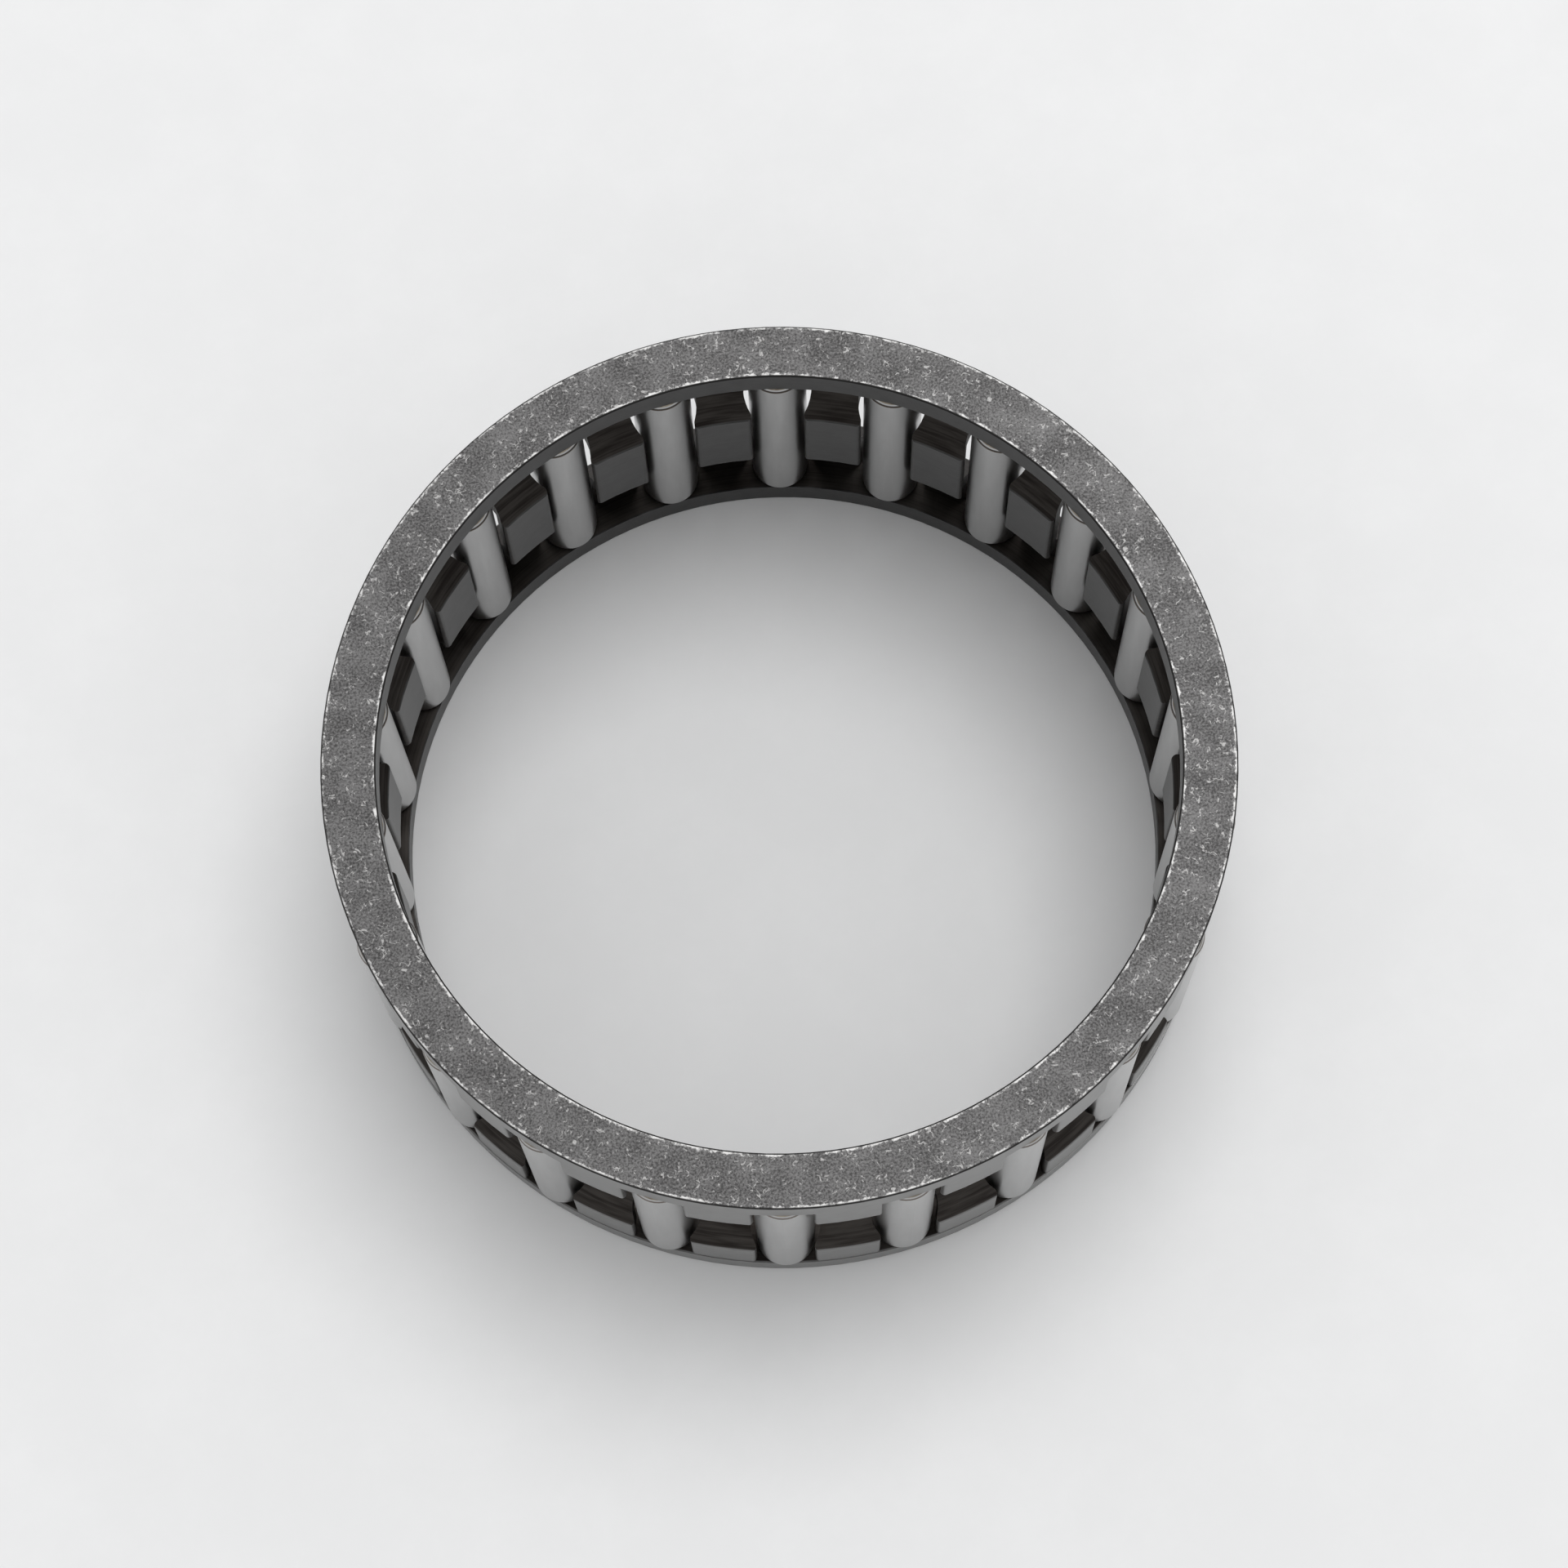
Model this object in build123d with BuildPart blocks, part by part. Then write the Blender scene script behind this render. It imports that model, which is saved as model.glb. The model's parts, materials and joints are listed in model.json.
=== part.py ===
from build123d import *
from math import radians, tan
import os

# Needle roller and cage assembly: one ring of loose needle rollers in a one-piece turned cage.
# It runs straight on a 52 mm shaft inside a 60 mm housing and is 24 mm wide.
# Z is the bearing's axis and the origin is the centre of its lower end face. Millimetres.

# Bearing
shaft_diameter = 52.0
roller_diameter = 4.0
roller_count = 22
bearing_width = 24.0

# Rollers
roller_length = 19.2
roller_corner = 0.4  # rounding of a roller's two ends

# Cage: two full end rings joined by webs that step from the outside in to the bore and out again
cage_standoff = 0.2  # radial gap from the end rings to the shaft, and to the housing
ring_thickness = 2.3  # an end ring, along the axis
band_setback = 0.05  # the webs' outer bands stand this much in from the end rings' outside
band_width = 6.6  # from an end face to the shoulder of the outer groove
web_thickness = 1.4
pocket_play = 0.35  # radial play of a roller in its pocket
mouth_edge = 0.3  # tumbled edges of the pockets' mouths
turned_edge = 0.15  # tumbled edges and tool corners of the turned profile

# Worked out from the above
pitch_radius = (shaft_diameter + roller_diameter) / 2
bore_radius = shaft_diameter / 2 + cage_standoff
outer_radius = shaft_diameter / 2 + roller_diameter - cage_standoff
band_radius = outer_radius - band_setback
groove_radius = bore_radius + web_thickness  # floor of the groove round the outside
recess_radius = band_radius - web_thickness  # floor of the two recesses inside
pocket_radius = roller_diameter / 2 + pocket_play
pocket_length = bearing_width - 2 * ring_thickness
mid_height = bearing_width / 2

# The shoulders slope at 45 degrees, inside and outside, so the web keeps its thickness round them
groove_foot = band_width + band_radius - groove_radius
recess_step = web_thickness * tan(radians(45 / 2))
recess_head = band_width - recess_step
land_foot = groove_foot - recess_step

# The webs' section along the axis
with BuildSketch(Plane.XZ) as turned_section:
    with BuildLine():
        Polyline(
            (recess_radius, ring_thickness),
            (band_radius, ring_thickness),
            (band_radius, band_width),
            (groove_radius, groove_foot),
            (groove_radius, mid_height),
            (bore_radius, mid_height),
            (bore_radius, land_foot),
            (recess_radius, recess_head),
            close=True,
        )
    make_face()
    mirror(about=Plane.XZ.offset(-mid_height))
    between_rings = turned_section.vertices().group_by(Axis.Y)[1:-1]
    fillet([corner for level in between_rings for corner in level], radius=turned_edge)

# The webs' section across the axis: what the round pockets leave of a ring. A pocket's mouths,
# inside and outside, are narrower than the roller, so they hold it in.
with BuildSketch(Plane.XY.offset(ring_thickness)) as pocketed_section:
    Circle(band_radius)
    Circle(bore_radius, mode=Mode.SUBTRACT)
    with PolarLocations(pitch_radius, roller_count):
        Circle(pocket_radius, mode=Mode.SUBTRACT)
    fillet(pocketed_section.vertices(), radius=mouth_edge)

with BuildPart() as cage:
    # Webs
    revolve(turned_section.sketch, axis=Axis.Z)
    extrude(pocketed_section.sketch, amount=pocket_length, mode=Mode.INTERSECT)

    # End rings
    with BuildSketch(Plane.XZ):
        with Locations((bore_radius, 0)):
            ring_section = Rectangle(outer_radius - bore_radius, ring_thickness, align=Align.MIN)
        fillet(ring_section.vertices().group_by(Axis.Y)[0], radius=turned_edge)
        mirror(about=Plane.XZ.offset(-mid_height))
    revolve(axis=Axis.Z)

os.makedirs("parts", exist_ok=True)
cage.part.label = "cage"
export_step(cage.part, "parts/cage.step")

# The rollers stand upright on the pitch circle, the first of them on +X, each with the same gap
# to the end ring below it and above it
roller_base = (bearing_width - roller_length) / 2

for number, place in enumerate(PolarLocations(pitch_radius, roller_count), start=1):
    with BuildPart() as roller:
        with BuildSketch(Plane(place).offset(roller_base)):
            Circle(roller_diameter / 2)
        extrude(amount=roller_length)
        fillet(roller.edges().filter_by(GeomType.CIRCLE), radius=roller_corner)

    roller.part.label = f"roller_{number:02d}"
    export_step(roller.part, f"parts/{roller.part.label}.step")
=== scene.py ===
import json
import math

import bpy
from mathutils import Matrix, Vector


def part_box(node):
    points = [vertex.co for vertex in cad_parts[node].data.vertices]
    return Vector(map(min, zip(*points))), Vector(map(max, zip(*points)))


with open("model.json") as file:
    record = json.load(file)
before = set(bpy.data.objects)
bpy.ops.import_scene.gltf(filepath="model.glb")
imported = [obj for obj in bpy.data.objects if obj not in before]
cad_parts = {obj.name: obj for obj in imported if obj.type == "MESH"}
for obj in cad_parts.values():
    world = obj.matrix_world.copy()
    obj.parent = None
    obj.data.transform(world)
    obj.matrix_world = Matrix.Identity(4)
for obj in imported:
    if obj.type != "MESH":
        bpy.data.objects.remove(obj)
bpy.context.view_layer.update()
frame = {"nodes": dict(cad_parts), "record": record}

MM = 0.001

# The cage and its rollers, from the frame
cage_low, cage_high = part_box("cage")
roller_low, roller_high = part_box("roller_01")
roller_names = sorted(name for name in frame["nodes"] if name.startswith("roller_"))
bore_mount = next(m for m in frame["record"]["mounts"] if m["name"] == "cage_bore")

height = cage_high.z
mid_height = height / 2
outer_radius = cage_high.x
bore_radius = bore_mount["dims"]["r_mm"] * MM
pitch_radius = (roller_low.x + roller_high.x) / 2
roller_radius = (roller_high.x - roller_low.x) / 2
roller_top = roller_high.z - mid_height
roller_corner = 0.4 * MM
ring_thickness = 2.3 * MM
pitch_angle = 2 * math.pi / len(roller_names)


# ---------------------------------------------------------------- camera, floor and light

# The camera looks down from the front, close enough for strong perspective
VIEW_AZIMUTH = math.radians(-5.93)
VIEW_ELEVATION = math.radians(74.379)
VIEW_ROLL = math.radians(-2.79)
VIEW_DISTANCE = 286.5 * MM
VIEW_AIM = (0.25 * MM, 4.36 * MM, 1.22 * MM)  # right, back and up, before the azimuth turns it
LENS, SENSOR = 93.2, 36

SKY_STRENGTH, SKY_COLOUR = 0.70, (0.995, 0.998, 1.0)
KEY_PLACE, KEY_WIDTH, KEY_POWER = (0.15, 0.24, 0.86), 0.6, 3.7
FLOOR_REACH = 1.5  # from the middle to each side


def make_camera():
    turn = Matrix.Rotation(VIEW_AZIMUTH, 3, "Z")
    aim = turn @ Vector(VIEW_AIM)
    back = turn @ Vector((0, -math.cos(VIEW_ELEVATION), math.sin(VIEW_ELEVATION)))
    data = bpy.data.cameras.new("camera")
    data.lens = LENS
    data.sensor_width = SENSOR
    data.clip_start = 0.01
    data.clip_end = 10
    camera = bpy.data.objects.new("camera", data)
    bpy.context.scene.collection.objects.link(camera)
    look = (-back).to_track_quat("-Z", "Y").to_matrix() @ Matrix.Rotation(VIEW_ROLL, 3, "Z")
    camera.matrix_world = Matrix.Translation(aim + back * VIEW_DISTANCE) @ look.to_4x4()
    bpy.context.scene.camera = camera


def make_key_light():
    """A soft light high behind the bearing, aimed at it."""
    data = bpy.data.lights.new("key", "AREA")
    data.shape = "DISK"
    data.size = KEY_WIDTH
    data.energy = KEY_POWER
    light = bpy.data.objects.new("key", data)
    light.location = KEY_PLACE
    light.rotation_euler = (-Vector(KEY_PLACE)).to_track_quat("-Z", "Y").to_euler()
    bpy.context.scene.collection.objects.link(light)


def make_world():
    world = bpy.data.worlds.new("studio")
    world.use_nodes = True
    sky = world.node_tree.nodes["Background"]
    sky.inputs["Color"].default_value = (*SKY_COLOUR, 1)
    sky.inputs["Strength"].default_value = SKY_STRENGTH
    bpy.context.scene.world = world


# ---------------------------------------------------------------- colours

# The cage: its end faces and their scratches, its turned slopes and grooves, its outside, its bore
# on the webs' lands and on the end rings, where the rings' bore is painted darker as painted shade,
# and the rims of its end faces, with a painted dark reflection line and light chips with painted glints
END_DARK, END_LIGHT = (0.040, 0.039, 0.039), (0.148, 0.1455, 0.1455)
SCRATCH = (0.36, 0.355, 0.35)
TURNED_DARK, TURNED_LIGHT = (0.020, 0.017, 0.0155), (0.055, 0.050, 0.046)
BAND_DARK, BAND_LIGHT = (0.205, 0.204, 0.202), (0.235, 0.234, 0.232)
LAND_DARK, LAND_LIGHT = (0.068, 0.0675, 0.0665), (0.084, 0.0835, 0.0825)
SHADED_RING_BORE_DARK, SHADED_RING_BORE_LIGHT = (0.043, 0.0425, 0.042), (0.056, 0.0555, 0.055)
RIM_REFLECTION_DARK = (0.035, 0.034, 0.033)
CHIP_AND_GLINT = (0.48, 0.475, 0.47)

# The rollers' sides and ends and the painted dark reflection line under the ends' rims, and the floor
SIDE_DARK, SIDE_LIGHT = (0.455, 0.455, 0.453), (0.495, 0.495, 0.493)
FACE_DARK, FACE_LIGHT = (0.16, 0.13, 0.10), (0.34, 0.305, 0.25)
UNDER_RIM_REFLECTION = (0.14, 0.12, 0.105)
CARD_DARK, CARD_LIGHT = (0.775, 0.777, 0.78), (0.80, 0.802, 0.805)


# ---------------------------------------------------------------- building materials

class Shader:
    """A new material, with short calls for the nodes that a pattern is worked out from."""

    def __init__(self, name):
        self.material = bpy.data.materials.new(name)
        self.material.use_nodes = True
        self.nodes = self.material.node_tree.nodes
        self.links = self.material.node_tree.links
        self.surface = self.nodes["Principled BSDF"]

    def feed(self, socket, value):
        if isinstance(value, bpy.types.NodeSocket):
            self.links.new(value, socket)
        else:
            socket.default_value = value

    def math(self, operation, *values):
        node = self.nodes.new("ShaderNodeMath")
        node.operation = operation
        for socket, value in zip(node.inputs, values):
            self.feed(socket, value)
        return node.outputs[0]

    def step(self, value, low, high):
        """0 below low, 1 above high and smooth between. Where low is above high it falls instead."""
        node = self.nodes.new("ShaderNodeMapRange")
        node.interpolation_type = "SMOOTHSTEP"
        falls = low > high
        limits = (value, high, low, 1, 0) if falls else (value, low, high, 0, 1)
        for socket, number in zip(node.inputs, limits):
            self.feed(socket, number)
        return node.outputs[0]

    def noise(self, place, scale, detail=3.0, roughness=0.5, distortion=0.0):
        node = self.nodes.new("ShaderNodeTexNoise")
        node.inputs["Scale"].default_value = scale
        node.inputs["Detail"].default_value = detail
        node.inputs["Roughness"].default_value = roughness
        node.inputs["Distortion"].default_value = distortion
        self.links.new(place, node.inputs["Vector"])
        return node.outputs["Fac"]

    def mix(self, factor, first, second):
        """A mix of two colours."""
        node = self.nodes.new("ShaderNodeMix")
        node.data_type = "RGBA"
        self.feed(node.inputs["Factor"], factor)
        for socket, colour in zip((node.inputs["A"], node.inputs["B"]), (first, second)):
            self.feed(socket, (*colour, 1) if isinstance(colour, tuple) else colour)
        return node.outputs["Result"]

    def blend(self, factor, first, second):
        """A mix of two numbers."""
        node = self.nodes.new("ShaderNodeMix")
        self.feed(node.inputs["Factor"], factor)
        self.feed(node.inputs["A"], first)
        self.feed(node.inputs["B"], second)
        return node.outputs["Result"]

    def place(self):
        """The point in the row's frame: its vector and its x, y and z."""
        source = self.nodes.new("ShaderNodeTexCoord").outputs["Object"]
        split = self.nodes.new("ShaderNodeSeparateXYZ")
        self.links.new(source, split.inputs[0])
        return source, *split.outputs

    def vector(self, x, y, z):
        node = self.nodes.new("ShaderNodeCombineXYZ")
        for socket, value in zip(node.inputs, (x, y, z)):
            self.feed(socket, value)
        return node.outputs[0]

    def length(self, x, y):
        squares = self.math("ADD", self.math("MULTIPLY", x, x), self.math("MULTIPLY", y, y))
        return self.math("SQRT", squares)

    def bump(self, height_value, strength, distance):
        node = self.nodes.new("ShaderNodeBump")
        node.inputs["Strength"].default_value = strength
        node.inputs["Distance"].default_value = distance
        self.links.new(height_value, node.inputs["Height"])
        self.links.new(node.outputs["Normal"], self.surface.inputs["Normal"])


def make_cage_steel():
    """Turned and tumbled steel: speckled end faces with chipped edges, satin outside, dark inside; painted
    shade on the end rings' bore, a painted dark reflection line round the end faces and painted glints among
    the edge chips.
    """
    s = Shader("cage_steel")
    place, x, y, z = s.place()
    radius = s.length(x, y)
    from_middle = s.math("ABSOLUTE", s.math("SUBTRACT", z, mid_height))

    # Where each finish is
    is_end = s.step(from_middle, mid_height - 0.13 * MM, mid_height - 0.03 * MM)
    is_band = s.step(radius, outer_radius - 0.18 * MM, outer_radius - 0.08 * MM)
    is_bore = s.step(radius, bore_radius + 0.12 * MM, bore_radius + 0.04 * MM)

    # End faces: fine grain under soft clouds, with short curled scratches lighter than the rest
    grain = s.noise(place, 6500, detail=4, roughness=0.7)
    cloud = s.noise(place, 420, detail=4)
    mottle = s.math("ADD", s.math("MULTIPLY", grain, 0.8), s.math("MULTIPLY", cloud, 0.2))
    end_colour = s.mix(s.step(mottle, 0.38, 0.62), END_DARK, END_LIGHT)
    curl = s.math("ABSOLUTE", s.math("SUBTRACT", s.noise(place, 1600, detail=2, distortion=0.8), 0.5))
    cut_short = s.step(s.noise(place, 2400, detail=2), 0.54, 0.62)
    scratches = s.math("MULTIPLY", s.step(curl, 0.034, 0.012), cut_short)
    end_colour = s.mix(s.math("MULTIPLY", scratches, 0.75), end_colour, SCRATCH)

    # Turned faces: rings a tool leaves, uneven along their length
    lines = s.noise(s.vector(radius, 0.0, z), 5200, detail=3, roughness=0.65)
    drawn_out = s.vector(s.math("MULTIPLY", x, 0.5), s.math("MULTIPLY", y, 0.5), s.math("MULTIPLY", z, 6.0))
    smear = s.noise(drawn_out, 600)
    marks = s.math("ADD", s.math("MULTIPLY", lines, 0.45), s.math("MULTIPLY", smear, 0.55))
    turned_colour = s.mix(s.step(marks, 0.35, 0.65), TURNED_DARK, TURNED_LIGHT)

    # The outside and the bore: satin, with fine lines and a faint haze
    fine_lines = s.noise(s.vector(radius, 0.0, z), 9000, detail=2)
    soft = s.math("MULTIPLY", s.noise(place, 900, detail=4), 0.5)
    haze = s.step(s.math("ADD", soft, s.math("MULTIPLY", fine_lines, 0.5)), 0.35, 0.65)
    ring_foot = mid_height - ring_thickness
    # The end rings' bore is painted darker than the webs' lands: painted shade, the same at both ends
    ring_bore_shade = s.step(from_middle, ring_foot - 0.6 * MM, ring_foot - 0.2 * MM)
    land_colour = s.mix(haze, LAND_DARK, LAND_LIGHT)
    bore_colour = s.mix(ring_bore_shade, land_colour, s.mix(haze, SHADED_RING_BORE_DARK, SHADED_RING_BORE_LIGHT))
    colour = s.mix(is_band, turned_colour, s.mix(haze, BAND_DARK, BAND_LIGHT))
    colour = s.mix(is_bore, colour, bore_colour)
    colour = s.mix(is_end, colour, end_colour)

    # The rim of each end face: a thin dark line that is a painted reflection of the rounded edge, and light
    # chips just inside it, worn spots with painted glints
    from_outside = s.math("SUBTRACT", outer_radius, radius)
    from_rim = s.math("MINIMUM", from_outside, s.math("SUBTRACT", radius, bore_radius))
    ragged = s.math("SUBTRACT", s.noise(place, 2600, detail=4, roughness=0.7), 0.5)
    chip_and_glint_depth = s.math("ADD", from_rim, s.math("MULTIPLY", ragged, 0.55 * MM))
    at_end = s.step(from_middle, mid_height - 0.17 * MM, mid_height - 0.12 * MM)
    rim_reflection_mask = s.math("MULTIPLY", s.step(from_rim, 0.12 * MM, 0.06 * MM), at_end)
    # Light chips: worn spots, with painted glints among them
    chip_and_glint_places = s.step(s.noise(place, 1100, detail=4, roughness=0.75), 0.43, 0.57)
    chip_and_glint_band = s.math("MULTIPLY", s.step(from_rim, 0.08 * MM, 0.13 * MM),
                       s.step(chip_and_glint_depth, 0.27 * MM, 0.17 * MM))
    chips_and_glints = s.math("MULTIPLY", s.math("MULTIPLY", chip_and_glint_band, chip_and_glint_places), at_end)
    colour = s.mix(rim_reflection_mask, colour, RIM_REFLECTION_DARK)
    colour = s.mix(chips_and_glints, colour, CHIP_AND_GLINT)
    s.feed(s.surface.inputs["Base Color"], colour)

    is_smooth = s.math("MAXIMUM", is_band, is_bore)
    end_roughness = s.blend(grain, 0.40, 0.60)
    s.feed(s.surface.inputs["Roughness"], s.blend(is_end, s.blend(is_smooth, 0.48, 0.36), end_roughness))
    s.surface.inputs["Metallic"].default_value = 1.0
    s.bump(s.blend(is_end, s.blend(is_smooth, marks, 0.5), grain), 0.3, 0.04 * MM)
    return s.material


def make_roller_steel():
    """Ground roller: satin all round, with a bronzed flat end inside a polished rim, and a painted dark
    reflection line under the rim.
    """
    s = Shader("roller_steel")
    place, x, y, z = s.place()

    # Distance from the axis of the roller that this point is on
    angle = s.math("ARCTAN2", y, x)
    nearest_number = s.math("ROUND", s.math("DIVIDE", angle, pitch_angle))
    nearest = s.math("MULTIPLY", nearest_number, pitch_angle)
    off_x = s.math("SUBTRACT", x, s.math("MULTIPLY", s.math("COSINE", nearest), pitch_radius))
    off_y = s.math("SUBTRACT", y, s.math("MULTIPLY", s.math("SINE", nearest), pitch_radius))
    from_axis = s.length(off_x, off_y)
    from_middle = s.math("ABSOLUTE", s.math("SUBTRACT", z, mid_height))

    # The bronzed end reaches to a thin bright rim; a painted dark line, a painted reflection of the dark
    # cage around it, runs where the rim meets the side
    flat_radius = roller_radius - roller_corner
    at_end = s.step(from_middle, roller_top - 0.16 * MM, roller_top - 0.10 * MM)
    is_face = s.math("MULTIPLY", at_end, s.step(from_axis, flat_radius + 0.27 * MM, flat_radius + 0.22 * MM))
    painted_reflection_below_rim = s.math("MULTIPLY", s.step(from_middle, roller_top - 0.36 * MM, roller_top - 0.30 * MM),
                       s.step(from_middle, roller_top - 0.14 * MM, roller_top - 0.20 * MM))

    ground = s.noise(s.vector(x, y, s.math("MULTIPLY", z, 0.15)), 1500, detail=3)
    side_colour = s.mix(s.step(ground, 0.3, 0.7), SIDE_DARK, SIDE_LIGHT)
    stain = s.noise(place, 1500, detail=4, roughness=0.6)
    colour = s.mix(painted_reflection_below_rim, side_colour, UNDER_RIM_REFLECTION)
    colour = s.mix(is_face, colour, s.mix(s.step(stain, 0.3, 0.7), FACE_DARK, FACE_LIGHT))
    s.feed(s.surface.inputs["Base Color"], colour)
    face_roughness = s.blend(stain, 0.32, 0.5)
    s.feed(s.surface.inputs["Roughness"], s.blend(is_face, s.blend(ground, 0.27, 0.30), face_roughness))
    s.surface.inputs["Metallic"].default_value = 1.0
    s.bump(s.blend(is_face, 0.5, stain), 0.2, 0.02 * MM)
    return s.material


def make_floor_paper():
    """White card, very slightly uneven."""
    s = Shader("floor_paper")
    place = s.place()[0]
    unevenness = s.step(s.noise(place, 90, detail=6, roughness=0.7), 0.35, 0.75)
    s.feed(s.surface.inputs["Base Color"], s.mix(unevenness, CARD_DARK, CARD_LIGHT))
    s.surface.inputs["Roughness"].default_value = 0.7
    return s.material


def make_floor():
    mesh = bpy.data.meshes.new("floor")
    signs = ((-1, -1), (1, -1), (1, 1), (-1, 1))
    corners = [(across * FLOOR_REACH, along * FLOOR_REACH, 0) for across, along in signs]
    mesh.from_pydata(corners, [], [(0, 1, 2, 3)])
    mesh.materials.append(make_floor_paper())
    floor = bpy.data.objects.new("floor", mesh)
    bpy.context.scene.collection.objects.link(floor)


def dress(name, material):
    node = frame["nodes"][name]
    for material_slot in node.material_slots:
        material_slot.material = material


bpy.context.scene.view_settings.view_transform = "Standard"
make_camera()
make_world()
make_key_light()
make_floor()

dress("cage", make_cage_steel())
roller_steel = make_roller_steel()
for roller_name in roller_names:
    dress(roller_name, roller_steel)
